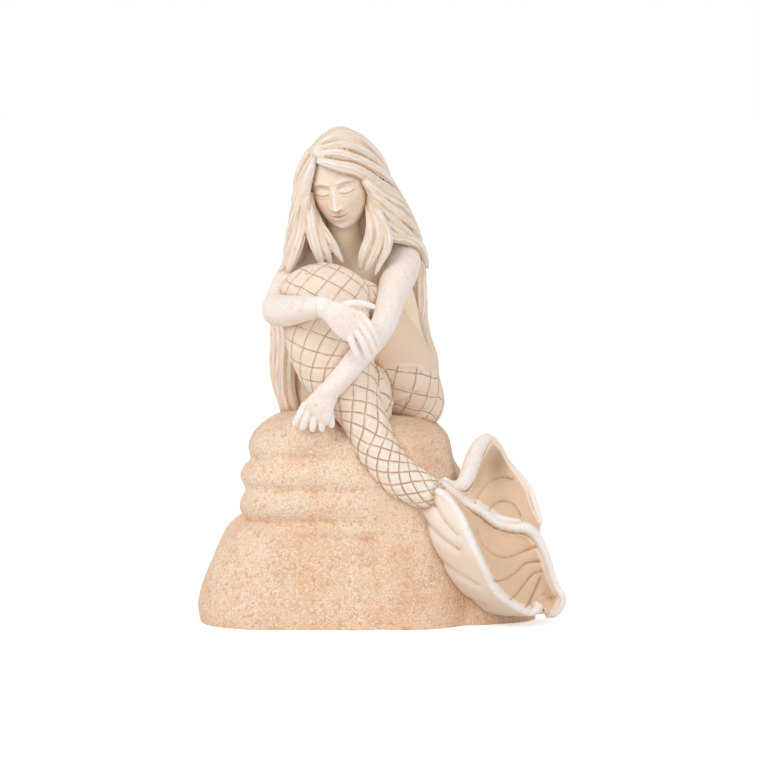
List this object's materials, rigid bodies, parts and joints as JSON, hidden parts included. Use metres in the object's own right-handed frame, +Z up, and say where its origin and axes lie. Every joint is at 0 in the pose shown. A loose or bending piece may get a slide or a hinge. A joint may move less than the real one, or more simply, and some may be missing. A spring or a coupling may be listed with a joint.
{
  "type": "mermaid figurine",
  "caption": "Solid cast ornament: a mermaid sits on a ringed sandy rock, one knee drawn up under her crossed arms, and her ribbed tail fin fans out beside the flat-based rock.",
  "frame": {"origin": "centre of the bounding box, on the ground that the flat base stands on", "axes": "+Z up through the rock and the head, -Y is the front that the knee, the arms and the fin face, +X is the side where the tail fin lies"},
  "size_m": [0.118, 0.0778, 0.1576],
  "materials": {
    "sandy_stoneware": "matte sandy, pale cream figure with white worn edges and brown in the grooves"
  },
  "bodies": {
    "root": {"mermaid_figurine": "sandy_stoneware"}
  },
  "joints": []
}
